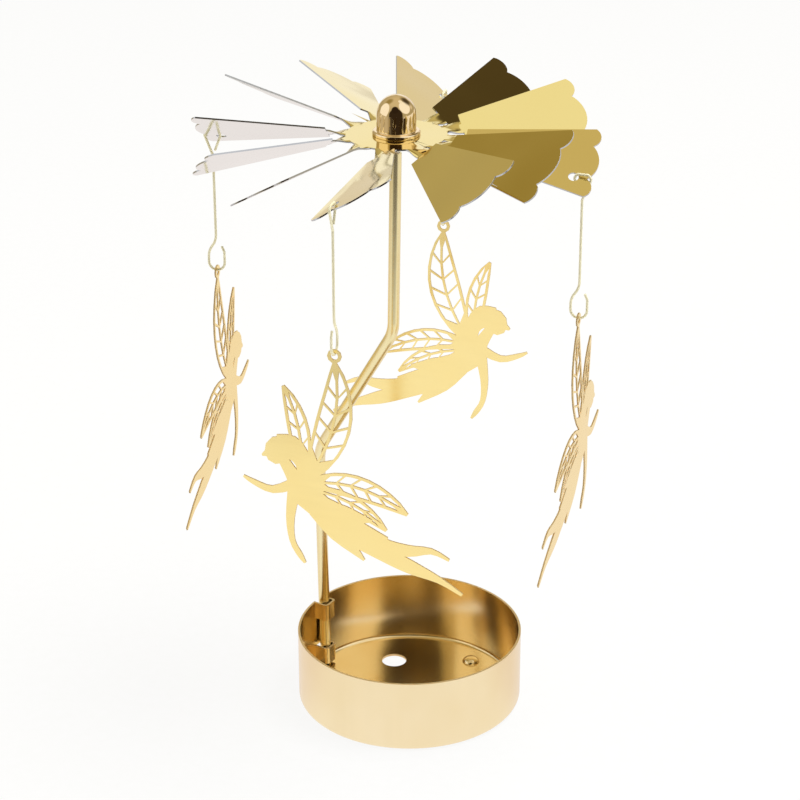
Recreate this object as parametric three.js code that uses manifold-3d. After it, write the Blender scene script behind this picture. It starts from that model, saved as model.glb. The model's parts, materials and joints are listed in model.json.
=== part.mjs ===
// Rotating tealight holder. A stamped tray holds the light, and a bent tube post carries a needle
// over it. A bladed sheet wheel turns on the needle in the rising warm air, with four flat winged
// figures hung from it on wire hooks.
// Millimetres, +Z up, +Y away from the viewer, origin in the middle of the tray's underside.
import * as THREE from 'three';
import { mergeVertices } from 'three/addons/utils/BufferGeometryUtils.js';
import Module from 'manifold-3d';

// Tray: a cup drawn from sheet
const TRAY_RADIUS = 30;
const TRAY_HEIGHT = 20;
const TRAY_SHEET = 0.6;
const TRAY_CORNER = 1.6;
const FLOOR_HOLE_DIAMETER = 6.8;
const FLOOR_HOLE_DISTANCE = 16.5;
const FLOOR_HOLE_AZIMUTH = 105;
const PIP_COUNT = 3;
const PIP_DIAMETER = 4.4;
const PIP_RISE = 1.2;
const PIP_DISTANCE = 23.1;
const PIP_AZIMUTH = 42;

// Post socket: two straps lanced inward from the tray's wall, with the wall left between them
const UPPER_STRAP_HEIGHT = 4.8;
const LOWER_STRAP_HEIGHT = 4.8;
const LOWER_STRAP_LIFT = 1;
const STRAP_BEND_RADIUS = 0.45;
const STRAP_CLEARANCE = 0.2;
const WALL_CLEARANCE = 0.2;
const FOOT_CLEARANCE = 0.15;

// Post: one tube with two bends
const POST_DIAMETER = 3;
const POST_BORE = 2;
const POST_AZIMUTH = 147.5;
const POST_LEAN = 0.9;
const LOWER_BEND_HEIGHT = 66;
const LOWER_BEND_RADIUS = 12;
const UPPER_BEND_HEIGHT = 105.8;
const UPPER_BEND_SETBACK = 0.9;
const UPPER_BEND_RADIUS = 10;
const POST_TOP_DROP = 4.5;

// Needle pressed into the top of the post
const NEEDLE_DIAMETER = 1.5;
const NEEDLE_DEPTH = 9;
const NEEDLE_POINT_LENGTH = 3.2;
const NEEDLE_TIP_DIAMETER = 0.24;
const PRESS_CLEARANCE = 0.05;

// Wheel: a stamped sheet disc whose blades are twisted at narrow necks
const WHEEL_OFFSET = -3.2;
const WHEEL_HEIGHT = 158.2;
const WHEEL_SHEET = 0.4;
const BLADE_AZIMUTH = 169.5;
const BLADE_HALF_ANGLE = 12.8;
const BLADE_REACH = 48.2;
const PLATE_RADIUS = 12.6;
const NECK_END_RADIUS = 17.2;
const NECK_ROOT_WIDTH = 5.6;
const NECK_END_WIDTH = 3.4;
const NECK_THINNING = 0.04;
const NECK_OVERLAP = 0.9;
const SMALL_SCALLOP_SHARE = 0.255;
const SMALL_SCALLOP_RISE = 1.5;
const LARGE_SCALLOP_RISE = 2.1;

// The blades are set by hand, so each one is twisted, droops and stands aside its own way, in degrees
const BLADE_TWISTS = [32, 30, 29.5, 31, 34.8, 38.3, 30.1, 35.6, 33, 37, 26.5, 28.5];
const BLADE_DROOPS = [1, 4.9, 4.1, 1.2, -0.4, -3.9, 6, -1.2, -2.7, 0.4, -3.5, -5.4];
const BLADE_SPLAYS = [2.7, -2.1, -0.4, -1.6, 3.4, -2, -2.6, -0.6, -1, 0.5, 0.3, 1.2];

// Hub cap: a turned dome swaged into the wheel, bored from below to a cone that sits on the needle
const CAP_DIAMETER = 9.8;
const CAP_HEIGHT = 10;
const CAP_BEAD_DIAMETER = 11.9;
const CAP_BEAD_THICKNESS = 1.3;
const CAP_STEM_DIAMETER = 5;
const CAP_LIP_DIAMETER = 6.6;
const CAP_LIP_THICKNESS = 0.7;
const CAP_BORE_DIAMETER = 3.4;
const SEAT_DEPTH_BELOW_TOP = 2.6;
const SEAT_CONE_LENGTH = 2.2;
const SEAT_GAP = 0.05;
const POINT_GAP = 0.1;

// Hangers: wire links, an eye that rests on the rim of every third blade and an open hook below
const HANGER_HOLE_DIAMETER = 2.6;
const HANGER_RIM_WIDTH = 2;
const WIRE_DIAMETER = 0.65;
const EYE_SIDE_CLEARANCE = 0.8;
const EYE_TOP_CLEARANCE = 0.55;
const EYE_SHOULDER = 0.65;
const EYE_DROP = 5.4;
const EYE_BEND_RADIUS = 0.8;
const EYE_END_GAP = 0.25;
const HOOK_DROP = 36;
const HOOK_WIDTH = 4.2;
const HOOK_HEIGHT = 5;
const HOOK_NECK_RISE = 2.9;
const HOOK_TIP_RISE = 1.5;

// Winged figures: cut from thin sheet and hung by a ring at the tip of the tall wing
const FIGURE_SHEET = 0.4;
const RING_DIAMETER = 3.6;
const RING_HOLE_DIAMETER = 1.9;
const RING_CLEARANCE = 0.12;
const WING_RIM = 0.75;
const WING_VEIN = 0.62;
const WING_CELL_START_SHARE = 0.2;
const WING_CELL_END_SHARE = 0.88;
const WING_CELL_SLANT_SHARE = 0.07;
const WING_FULLNESS = 0.8;

// The figure is drawn in its own plane with the ring at the origin, +X towards the feet and +Y up.
// A wing is a leaf along a bowed mid-vein.
const WINGS = {
  tall: { root: [-7.4, -34.4], bow: [3.5, -19], tip: [0, -1.4], halfWidth: 4.1, cellPairs: 5 },
  front: { root: [-7.8, -34], bow: [-7, -20], tip: [-12.8, -9.6], halfWidth: 2.4, cellPairs: 4 },
  trailing: { root: [-7.4, -35], bow: [6, -30], tip: [19.2, -38.4], halfWidth: 2.8, cellPairs: 5 },
  low: { root: [-7, -36], bow: [5, -35.5], tip: [14, -43.6], halfWidth: 1.9, cellPairs: 4 },
};

// A limb runs through stops of [x, y, half width]
const LIMBS = {
  body: [
    [-13, -28.4, 1.3], [-10, -33, 1.9], [-7.6, -37, 3.2], [-3.6, -40.6, 2.7], [3, -44.4, 3.6],
    [13.4, -49.8, 2.2], [20.2, -52.2, 1.9], [27.6, -54.4, 0.9], [33.6, -57.4, 0.4],
  ],
  raisedLeg: [
    [2, -43.4, 2.8], [12.4, -47.4, 2], [19.4, -48, 1.6], [25.4, -47, 0.8], [30, -48.6, 0.35],
  ],
  upperPetal: [[-4.6, -39.2, 1.6], [3.4, -41.2, 2.4], [10.4, -41.6, 0.3]],
  middlePetal: [[-4, -40.4, 2], [5, -44.6, 3.2], [14.4, -45.6, 0.3]],
  lowerPetal: [[-4.6, -41.4, 1.6], [1.6, -46.4, 2.4], [8.6, -52.6, 0.3]],
  arm: [[-9.6, -36, 1.7], [-10.6, -44.4, 1.1], [-10, -50.6, 0.75], [-8, -54.2, 0.75], [-6.6, -56.2, 0.3]],
  reachingArm: [[-9.4, -35, 1.5], [-15.2, -37.6, 1], [-20.2, -36.4, 0.7], [-22.8, -35.2, 0.3]],
  nose: [[-15.8, -27.6, 1.2], [-17.2, -28.3, 0.7], [-18, -28.8, 0.25]],
  upperLock: [[-14.2, -24.8, 2.1], [-10.2, -24.6, 2.2], [-7, -27, 1.3], [-4.6, -27.2, 0.3]],
  lowerLock: [[-13.4, -26, 2.4], [-9.6, -27.6, 1.6], [-7.4, -30.6, 1], [-5.2, -31.4, 0.3]],
};
const HEAD_CENTRE = [-14, -26.8];
const HEAD_RADII = [3.3, 3.9];
const HEAD_TILT = -23;

// How each hook's tip points (1 outward) and each figure flies (1 forward as the wheel turns)
const HANGERS = [
  { tipSide: -1, flight: 1 },
  { tipSide: 1, flight: 1 },
  { tipSide: 1, flight: -1 },
  { tipSide: 1, flight: 1 },
];

// Facet counts
const ROUND_STEPS = 60;
const CAP_STEPS = 28;
const DOME_STEPS = 7;
const SMALL_ROUND_STEPS = 14;
const PIP_STEPS = 10;
const WIRE_SIDES = 6;
const BEND_STEPS = 4;
const CORNER_STEPS = 3;
const LARGE_SCALLOP_STEPS = 6;
const LIMB_STEPS = 3;
const LEAF_STEPS = 2;
const FIGURE_ROUND_STEPS = 10;
const WELD = 1e-4;
const FLATNESS = 0.01;

const COLOURS = {
  tray: 0xe9cf93,
  post: 0xe6cf9a,
  needle: 0xcfc6ae,
  wheel: 0xd9bf66,
  cap: 0xc98f56,
  wire: 0xe2bf62,
  figure: 0xf6d684,
};

const radians = THREE.MathUtils.degToRad;
const upright = new THREE.Vector3(0, 0, 1);
const wasm = await Module();
wasm.setup();

// Solids: closed geometry in and out of the boolean library

function toSolid(geometry) {
  const bare = geometry.clone();
  bare.deleteAttribute('normal');
  bare.deleteAttribute('uv');
  const welded = mergeVertices(bare, WELD);
  const index = welded.index.array;
  const kept = [];
  for (let i = 0; i < index.length; i += 3) {
    const [a, b, c] = index.subarray(i, i + 3);
    if (a !== b && b !== c && c !== a) kept.push(a, b, c);
  }
  return new wasm.Manifold(new wasm.Mesh({
    numProp: 3,
    vertProperties: welded.attributes.position.array,
    triVerts: new Uint32Array(kept),
  }));
}

// Flat faces that the joins left in several pieces become one again
function toGeometry(solid) {
  const mesh = solid.asOriginal().simplify(FLATNESS).getMesh();
  const geometry = new THREE.BufferGeometry();
  geometry.setAttribute('position', new THREE.BufferAttribute(mesh.vertProperties, 3));
  geometry.setIndex(new THREE.BufferAttribute(mesh.triVerts, 1));
  geometry.computeVertexNormals();
  return geometry;
}

function join(geometries) {
  return geometries.map(toSolid).reduce((whole, piece) => whole.add(piece));
}

function piece(name, geometry, color, roughness = 0.25) {
  const material = new THREE.MeshStandardMaterial({ color, roughness, metalness: 1 });
  const mesh = new THREE.Mesh(geometry, material);
  mesh.name = name;
  return mesh;
}

// Shapes shared by several pieces

function polar(distance, azimuth) {
  const angle = radians(azimuth);
  return new THREE.Vector2(distance * Math.cos(angle), distance * Math.sin(angle));
}

// A profile of radius and height, turned about +Z. It runs up the outside and back on the axis.
function turned(profile, steps) {
  const points = profile.map(([radius, height]) => new THREE.Vector2(radius, height));
  return new THREE.LatheGeometry(points, steps).rotateX(Math.PI / 2);
}

function arc(centreRadius, centreHeight, radius, fromDegrees, toDegrees, steps) {
  const points = [];
  for (let k = 0; k <= steps; k += 1) {
    const angle = radians(THREE.MathUtils.lerp(fromDegrees, toDegrees, k / steps));
    points.push([centreRadius + radius * Math.cos(angle), centreHeight + radius * Math.sin(angle)]);
  }
  return points;
}

function circle(radius, x = 0, y = 0) {
  return new THREE.Path().absarc(x, y, radius, 0, 2 * Math.PI);
}

function disc(radius) {
  return new THREE.Shape().absarc(0, 0, radius, 0, 2 * Math.PI);
}

// Sheet metal: a flat shape with its thickness shared above and below its own plane
function sheet(shape, thickness, roundSteps) {
  const settings = { depth: thickness, bevelEnabled: false, curveSegments: roundSteps / 2 };
  return new THREE.ExtrudeGeometry(shape, settings).translate(0, 0, -thickness / 2);
}

function column(shape, bottom, top, roundSteps) {
  const settings = { depth: top - bottom, bevelEnabled: false, curveSegments: roundSteps / 2 };
  return new THREE.ExtrudeGeometry(shape, settings).translate(0, 0, bottom);
}

// A bent rod's centre line: straight runs between corners that are rounded to a radius
class BentLine extends THREE.Curve {
  constructor(corners, radii) {
    super();
    this.stations = [];
    const last = corners.length - 1;
    const headings = corners.slice(1).map((corner, i) => corner.clone().sub(corners[i]).normalize());
    this.addStation(corners[0], headings[0]);
    for (let i = 1; i < last; i += 1) {
      this.addBend(corners[i], headings[i - 1], headings[i], radii[i - 1]);
    }
    this.addStation(corners[last], headings[last - 1]);
  }

  addStation(point, tangent) {
    const previous = this.stations.at(-1);
    if (previous && previous.point.distanceTo(point) < WELD) return;
    this.stations.push({ point: point.clone(), tangent: tangent.clone().normalize() });
  }

  addBend(corner, incoming, outgoing, radius) {
    const turn = incoming.angleTo(outgoing);
    const sideways = outgoing.clone().addScaledVector(incoming, -incoming.dot(outgoing)).normalize();
    const start = corner.clone().addScaledVector(incoming, -radius * Math.tan(turn / 2));
    for (let k = 0; k <= BEND_STEPS; k += 1) {
      const angle = turn * k / BEND_STEPS;
      const point = start.clone()
        .addScaledVector(incoming, radius * Math.sin(angle))
        .addScaledVector(sideways, radius * (1 - Math.cos(angle)));
      const tangent = incoming.clone().multiplyScalar(Math.cos(angle))
        .addScaledVector(sideways, Math.sin(angle));
      this.addStation(point, tangent);
    }
  }

  getSpacedPoints() {
    return this.stations.map((station) => station.point.clone());
  }

  getTangentAt(u) {
    return this.stations[Math.round(u * (this.stations.length - 1))].tangent.clone();
  }
}

function rod(section, line, sides) {
  return new THREE.ExtrudeGeometry(section, {
    steps: line.stations.length - 1,
    extrudePath: line,
    curveSegments: sides / 2,
  });
}

// Tray

const postDistance = TRAY_RADIUS - TRAY_SHEET - WALL_CLEARANCE - POST_DIAMETER / 2;
const strapInside = POST_DIAMETER / 2 + STRAP_CLEARANCE;
const strapOutside = strapInside + TRAY_SHEET;
const strapReach = Math.sqrt((TRAY_RADIUS - TRAY_SHEET / 2) ** 2 - strapOutside ** 2) - postDistance;
const lowerStrapBottom = TRAY_SHEET + LOWER_STRAP_LIFT;

function atSocket(geometry) {
  return geometry.translate(postDistance, 0, 0).rotateZ(radians(POST_AZIMUTH));
}

// Seen from above a strap is a square bow with rounded corners
function strap(bottom, top) {
  const bendCentre = strapInside - STRAP_BEND_RADIUS;
  const outerBend = STRAP_BEND_RADIUS + TRAY_SHEET;
  const plan = new THREE.Shape();
  plan.moveTo(strapReach, strapOutside);
  plan.absarc(-bendCentre, bendCentre, outerBend, Math.PI / 2, Math.PI, false);
  plan.absarc(-bendCentre, -bendCentre, outerBend, Math.PI, 1.5 * Math.PI, false);
  plan.lineTo(strapReach, -strapOutside);
  plan.lineTo(strapReach, -strapInside);
  plan.absarc(-bendCentre, -bendCentre, STRAP_BEND_RADIUS, 1.5 * Math.PI, Math.PI, true);
  plan.absarc(-bendCentre, bendCentre, STRAP_BEND_RADIUS, Math.PI, Math.PI / 2, true);
  plan.lineTo(strapReach, strapInside);
  return atSocket(column(plan, bottom, top, BEND_STEPS));
}

function strapWindow(bottom, top) {
  const depth = 2 * TRAY_SHEET + POST_DIAMETER;
  const opening = new THREE.BoxGeometry(depth, 2 * strapInside, top - bottom);
  return atSocket(opening.translate(depth / 2, 0, (bottom + top) / 2));
}

function pip(radius, base, top) {
  const rise = top - base;
  const crown = arc(0, 0, 1, 0, 90, CORNER_STEPS).map(([x, y]) => [x * radius, base + y * rise]);
  crown[CORNER_STEPS][0] = 0;
  return turned([[0, base], ...crown], PIP_STEPS);
}

function buildTray() {
  const innerRadius = TRAY_RADIUS - TRAY_SHEET;
  const bend = TRAY_RADIUS - TRAY_CORNER;
  const cup = turned([
    [0, 0],
    ...arc(bend, TRAY_CORNER, TRAY_CORNER, -90, 0, CORNER_STEPS),
    [TRAY_RADIUS, TRAY_HEIGHT],
    [innerRadius, TRAY_HEIGHT],
    ...arc(bend, TRAY_CORNER, TRAY_CORNER - TRAY_SHEET, 0, -90, CORNER_STEPS),
    [0, TRAY_SHEET],
  ], ROUND_STEPS);
  const upperBottom = TRAY_HEIGHT - UPPER_STRAP_HEIGHT;
  const lowerTop = lowerStrapBottom + LOWER_STRAP_HEIGHT;
  const hole = polar(FLOOR_HOLE_DISTANCE, FLOOR_HOLE_AZIMUTH);
  const punch = column(disc(FLOOR_HOLE_DIAMETER / 2), -TRAY_SHEET, 2 * TRAY_SHEET, SMALL_ROUND_STEPS);
  let tray = toSolid(cup)
    .subtract(toSolid(strapWindow(upperBottom, TRAY_HEIGHT + TRAY_SHEET)))
    .subtract(toSolid(strapWindow(lowerStrapBottom, lowerTop)))
    .add(toSolid(strap(upperBottom, TRAY_HEIGHT)))
    .add(toSolid(strap(lowerStrapBottom, lowerTop)))
    .subtract(toSolid(punch.translate(hole.x, hole.y, 0)));
  for (let k = 0; k < PIP_COUNT; k += 1) {
    const spot = polar(PIP_DISTANCE, PIP_AZIMUTH + k * 360 / PIP_COUNT);
    const raised = pip(PIP_DIAMETER / 2, TRAY_SHEET / 2, TRAY_SHEET + PIP_RISE);
    const hollow = pip(PIP_DIAMETER / 2 - TRAY_SHEET, -TRAY_SHEET / 2, PIP_RISE);
    tray = tray
      .add(toSolid(raised.translate(spot.x, spot.y, 0)))
      .subtract(toSolid(hollow.translate(spot.x, spot.y, 0)));
  }
  return toGeometry(tray);
}

// Post and needle. The upper run aims at the seat that the needle's point carries.

const capTop = WHEEL_HEIGHT + WHEEL_SHEET / 2 + CAP_HEIGHT;
const seatHeight = capTop - SEAT_DEPTH_BELOW_TOP;
const pointTip = new THREE.Vector3(WHEEL_OFFSET, 0, seatHeight - POINT_GAP);
const upperBend = new THREE.Vector3(WHEEL_OFFSET - UPPER_BEND_SETBACK, 0, UPPER_BEND_HEIGHT);
const upperHeading = pointTip.clone().sub(upperBend).normalize();
const postTopHeight = WHEEL_HEIGHT - POST_TOP_DROP;
const postTop = upperBend.clone()
  .addScaledVector(upperHeading, (postTopHeight - UPPER_BEND_HEIGHT) / upperHeading.z);

function postAt(height) {
  const leaned = (height - TRAY_HEIGHT / 2) * Math.tan(radians(POST_LEAN));
  const spot = polar(postDistance + leaned, POST_AZIMUTH);
  return new THREE.Vector3(spot.x, spot.y, height);
}

// The post's foot stands in the curve between the tray's floor and its wall
function footHeight() {
  const hollow = TRAY_CORNER - TRAY_SHEET;
  const overlap = postDistance + POST_DIAMETER / 2 - (TRAY_RADIUS - TRAY_CORNER);
  const intoCurve = THREE.MathUtils.clamp(overlap, 0, hollow);
  return TRAY_CORNER - Math.sqrt(hollow ** 2 - intoCurve ** 2) + FOOT_CLEARANCE;
}

function buildPost() {
  const corners = [postAt(footHeight()), postAt(LOWER_BEND_HEIGHT), upperBend, postTop];
  const section = disc(POST_DIAMETER / 2);
  section.holes.push(circle(POST_BORE / 2));
  return rod(section, new BentLine(corners, [LOWER_BEND_RADIUS, UPPER_BEND_RADIUS]), SMALL_ROUND_STEPS);
}

function buildNeedle() {
  const length = pointTip.distanceTo(postTop);
  const pressed = POST_BORE / 2 - PRESS_CLEARANCE;
  const needle = turned([
    [0, -NEEDLE_DEPTH],
    [pressed, -NEEDLE_DEPTH],
    [pressed, 0],
    [NEEDLE_DIAMETER / 2, Math.abs(pressed - NEEDLE_DIAMETER / 2)],
    [NEEDLE_DIAMETER / 2, length - NEEDLE_POINT_LENGTH],
    [NEEDLE_TIP_DIAMETER / 2, length],
    [0, length],
  ], SMALL_ROUND_STEPS);
  const lean = new THREE.Quaternion().setFromUnitVectors(upright, upperHeading);
  return needle.applyQuaternion(lean).translate(postTop.x, postTop.y, postTop.z);
}

// Wheel. Each blade is drawn along +X in its own plane, twisted about that line and set to its droop.

const BLADE_COUNT = BLADE_DROOPS.length;
const HANGER_COUNT = HANGERS.length;
const scallopHalfChord = BLADE_REACH * Math.tan(radians(BLADE_HALF_ANGLE));
const cuspOffset = scallopHalfChord * (1 - 2 * SMALL_SCALLOP_SHARE);
const hangerHole = new THREE.Vector2(
  BLADE_REACH - HANGER_RIM_WIDTH - HANGER_HOLE_DIAMETER / 2,
  -cuspOffset,
);

const bladesPerHanger = BLADE_COUNT / HANGER_COUNT;

function bladeAzimuth(k) {
  return BLADE_AZIMUTH + k * 360 / BLADE_COUNT + BLADE_SPLAYS[k];
}

// Points of a round lobe from one cusp of the outer edge to the next
function scallop(fromOffset, toOffset, rise, steps) {
  const half = (toOffset - fromOffset) / 2;
  const radius = (half ** 2 + rise ** 2) / (2 * rise);
  const spread = Math.asin(half / radius);
  const points = [];
  for (let k = 1; k <= steps; k += 1) {
    const angle = THREE.MathUtils.lerp(-spread, spread, k / steps);
    const reach = BLADE_REACH + rise - radius + radius * Math.cos(angle);
    points.push(new THREE.Vector2(reach, fromOffset + half + radius * Math.sin(angle)));
  }
  return points;
}

function bladePanel(hasHole, twist) {
  const inner = NECK_END_RADIUS * Math.tan(radians(BLADE_HALF_ANGLE));
  const outline = new THREE.Shape([
    new THREE.Vector2(NECK_END_RADIUS, inner),
    new THREE.Vector2(NECK_END_RADIUS, -inner),
    new THREE.Vector2(BLADE_REACH, -scallopHalfChord),
    ...scallop(-scallopHalfChord, -cuspOffset, SMALL_SCALLOP_RISE, BEND_STEPS),
    ...scallop(-cuspOffset, cuspOffset, LARGE_SCALLOP_RISE, LARGE_SCALLOP_STEPS),
    ...scallop(cuspOffset, scallopHalfChord, SMALL_SCALLOP_RISE, BEND_STEPS),
  ]);
  if (hasHole) outline.holes.push(circle(HANGER_HOLE_DIAMETER / 2, hangerHole.x, hangerHole.y));
  return sheet(outline, WHEEL_SHEET, SMALL_ROUND_STEPS).rotateX(radians(twist));
}

// How far a blade's sheet has dropped at a radius, from the plate's edge outwards
function droopAt(radius, droop) {
  return -Math.max(radius - PLATE_RADIUS, 0) * Math.tan(radians(droop));
}

function droopBlade(geometry, droop) {
  const position = geometry.attributes.position;
  for (let i = 0; i < position.count; i += 1) {
    position.setZ(i, position.getZ(i) + droopAt(position.getX(i), droop));
  }
  return geometry;
}

// The strip that turns from the flat plate to the blade's slope. The twist draws it a little thinner.
function bladeNeck(twist) {
  const thickness = WHEEL_SHEET - NECK_THINNING;
  const neck = new THREE.BoxGeometry(1, 1, thickness, BEND_STEPS, 1, 1);
  const position = neck.attributes.position;
  const start = PLATE_RADIUS - NECK_OVERLAP;
  const end = NECK_END_RADIUS + NECK_OVERLAP;
  for (let i = 0; i < position.count; i += 1) {
    const along = position.getX(i) + 0.5;
    const radius = THREE.MathUtils.lerp(start, end, along);
    const turn = THREE.MathUtils.smoothstep(radius, PLATE_RADIUS, NECK_END_RADIUS);
    const width = THREE.MathUtils.lerp(NECK_ROOT_WIDTH, NECK_END_WIDTH, along);
    const angle = radians(twist) * turn;
    const across = position.getY(i) * width;
    const above = position.getZ(i);
    position.setXYZ(
      i,
      radius,
      across * Math.cos(angle) - above * Math.sin(angle),
      across * Math.sin(angle) + above * Math.cos(angle),
    );
  }
  return neck;
}

function buildWheel() {
  const plate = disc(PLATE_RADIUS);
  plate.holes.push(circle(CAP_STEM_DIAMETER / 2 + SEAT_GAP));
  const pieces = [sheet(plate, WHEEL_SHEET, CAP_STEPS)];
  for (let k = 0; k < BLADE_COUNT; k += 1) {
    const azimuth = radians(bladeAzimuth(k));
    const neck = bladeNeck(BLADE_TWISTS[k]);
    const panel = bladePanel(k % bladesPerHanger === 0, BLADE_TWISTS[k]);
    pieces.push(droopBlade(neck, BLADE_DROOPS[k]).rotateZ(azimuth));
    pieces.push(droopBlade(panel, BLADE_DROOPS[k]).rotateZ(azimuth));
  }
  return toGeometry(join(pieces)).translate(WHEEL_OFFSET, 0, WHEEL_HEIGHT);
}

function buildCap() {
  const plateTop = WHEEL_HEIGHT + WHEEL_SHEET / 2 + SEAT_GAP;
  const plateBottom = WHEEL_HEIGHT - WHEEL_SHEET / 2 - SEAT_GAP;
  const beadRadius = CAP_BEAD_THICKNESS / 2;
  const domeRadius = CAP_DIAMETER / 2;
  const dome = arc(0, capTop - domeRadius, domeRadius, 0, 90, DOME_STEPS);
  dome[DOME_STEPS][0] = 0;
  return turned([
    [0, seatHeight],
    [CAP_BORE_DIAMETER / 2, seatHeight - SEAT_CONE_LENGTH],
    [CAP_BORE_DIAMETER / 2, plateBottom - CAP_LIP_THICKNESS],
    [CAP_STEM_DIAMETER / 2, plateBottom - CAP_LIP_THICKNESS],
    [CAP_LIP_DIAMETER / 2, plateBottom],
    [CAP_STEM_DIAMETER / 2, plateBottom],
    [CAP_STEM_DIAMETER / 2, plateTop],
    ...arc(CAP_BEAD_DIAMETER / 2 - beadRadius, plateTop + beadRadius, beadRadius, -90, 90, BEND_STEPS),
    [domeRadius, plateTop + CAP_BEAD_THICKNESS],
    ...dome,
  ], CAP_STEPS).translate(WHEEL_OFFSET, 0, 0);
}

// Hangers, drawn with +X outward along the wheel's radius and +Z up, from the middle of the blade's
// rim between the hole and the edge

function buildHook(tipSide) {
  const at = (outward, up) => new THREE.Vector3(outward, 0, up);
  const eye = (HANGER_RIM_WIDTH + WIRE_DIAMETER) / 2 + EYE_SIDE_CLEARANCE;
  const eyeTop = (WHEEL_SHEET + WIRE_DIAMETER) / 2 + EYE_TOP_CLEARANCE;
  const bow = HOOK_WIDTH / 2;
  const bowTop = HOOK_HEIGHT - HOOK_DROP;
  const endOffset = WIRE_DIAMETER + EYE_END_GAP;
  const endShare = endOffset / eye;
  const corners = [
    at(-endOffset, -EYE_DROP * (1 - endShare)),
    at(-eye, 0),
    at(EYE_SHOULDER - eye, eyeTop),
    at(eye - EYE_SHOULDER, eyeTop),
    at(eye, 0),
    at(0, -EYE_DROP),
    at(0, bowTop + HOOK_NECK_RISE),
    at(-bow * tipSide, bowTop),
    at(-bow * tipSide, -HOOK_DROP),
    at(bow * tipSide, -HOOK_DROP),
    at(bow * tipSide, bowTop),
    at((bow - WIRE_DIAMETER) * tipSide, bowTop + HOOK_TIP_RISE),
  ];
  const soft = HOOK_NECK_RISE / 2;
  const radii = [
    EYE_BEND_RADIUS, EYE_BEND_RADIUS, EYE_BEND_RADIUS, EYE_BEND_RADIUS, EYE_BEND_RADIUS,
    soft, soft, bow, bow, EYE_BEND_RADIUS,
  ];
  return rod(disc(WIRE_DIAMETER / 2), new BentLine(corners, radii), WIRE_SIDES);
}

// Winged figure

// A limb: an outline that swells and tapers along a smooth line
function limb(stops) {
  const line = new THREE.SplineCurve(stops.map(([x, y]) => new THREE.Vector2(x, y)));
  const girth = new THREE.SplineCurve(stops.map(([, , half], i) => new THREE.Vector2(i, half)));
  const count = (stops.length - 1) * LIMB_STEPS;
  const left = [];
  const right = [];
  for (let k = 0; k <= count; k += 1) {
    const centre = line.getPoint(k / count);
    const tangent = line.getTangent(k / count);
    const half = girth.getPoint(k / count).y;
    left.push(new THREE.Vector2(centre.x - tangent.y * half, centre.y + tangent.x * half));
    right.push(new THREE.Vector2(centre.x + tangent.y * half, centre.y - tangent.x * half));
  }
  return new THREE.Shape([...right, ...left.reverse()]);
}

// A wing: a leaf with open cells in slanting pairs on both sides of its mid-vein
function wing({ root, bow, tip, halfWidth, cellPairs }) {
  const vein = new THREE.QuadraticBezierCurve(
    new THREE.Vector2(...root),
    new THREE.Vector2(...bow),
    new THREE.Vector2(...tip),
  );
  const leafSteps = LEAF_STEPS * cellPairs;
  const widthAt = (t) => WING_RIM / 2 + halfWidth * Math.sin(Math.PI * Math.min(t, 1)) ** WING_FULLNESS;
  const at = (t, offset) => {
    const centre = vein.getPoint(t);
    const tangent = vein.getTangent(t);
    return new THREE.Vector2(centre.x - tangent.y * offset, centre.y + tangent.x * offset);
  };
  const edge = (side) => Array.from({ length: leafSteps + 1 }, (_, k) => {
    const t = k / leafSteps;
    return at(t, side * widthAt(t));
  });
  const leaf = new THREE.Shape([...edge(-1), ...edge(1).reverse()]);
  const span = (WING_CELL_END_SHARE - WING_CELL_START_SHARE) / cellPairs;
  const rib = WING_VEIN / vein.getLength();
  const inside = WING_VEIN / 2;
  const outerCorner = (t, side) => at(t, side * Math.max(widthAt(t) - WING_RIM, 2 * inside));
  for (let k = 0; k < cellPairs; k += 1) {
    const from = WING_CELL_START_SHARE + k * span;
    const to = from + span - rib;
    const middle = (from + to) / 2;
    for (const side of [-1, 1]) {
      leaf.holes.push(new THREE.Path([
        at(from, side * inside),
        outerCorner(from + WING_CELL_SLANT_SHARE, side),
        outerCorner(middle + WING_CELL_SLANT_SHARE, side),
        outerCorner(to + WING_CELL_SLANT_SHARE, side),
        at(to, side * inside),
      ]));
    }
  }
  return leaf;
}

function figureShapes() {
  const ring = disc(RING_DIAMETER / 2);
  ring.holes.push(circle(RING_HOLE_DIAMETER / 2));
  const head = new THREE.Shape()
    .absellipse(...HEAD_CENTRE, ...HEAD_RADII, 0, 2 * Math.PI, false, radians(HEAD_TILT));
  return [ring, ...Object.values(WINGS).map(wing), ...Object.values(LIMBS).map(limb), head];
}

// The middle of a closed geometry's volume, from the tetrahedra under its triangles
function centroid(geometry) {
  const position = geometry.attributes.position;
  const index = geometry.index;
  const [a, b, c] = [new THREE.Vector3(), new THREE.Vector3(), new THREE.Vector3()];
  const sum = new THREE.Vector3();
  let total = 0;
  for (let i = 0; i < index.count; i += 3) {
    a.fromBufferAttribute(position, index.getX(i));
    b.fromBufferAttribute(position, index.getX(i + 1));
    c.fromBufferAttribute(position, index.getX(i + 2));
    const volume = a.dot(b.clone().cross(c));
    sum.addScaledVector(a.clone().add(b).add(c), volume);
    total += volume;
  }
  return sum.divideScalar(4 * total);
}

// The figure hangs plumb: its middle comes to rest straight below the wire in its ring
function buildFigure() {
  const layers = figureShapes().map((shape) => sheet(shape, FIGURE_SHEET, FIGURE_ROUND_STEPS));
  const flat = toGeometry(join(layers));
  const ringSlack = (RING_HOLE_DIAMETER - WIRE_DIAMETER) / 2 - RING_CLEARANCE;
  flat.translate(0, -ringSlack, 0);
  const middle = centroid(flat);
  flat.rotateZ(-Math.atan2(middle.x, -middle.y));
  return flat.rotateX(Math.PI / 2).rotateZ(Math.PI / 2);
}

// Assembly

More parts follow.
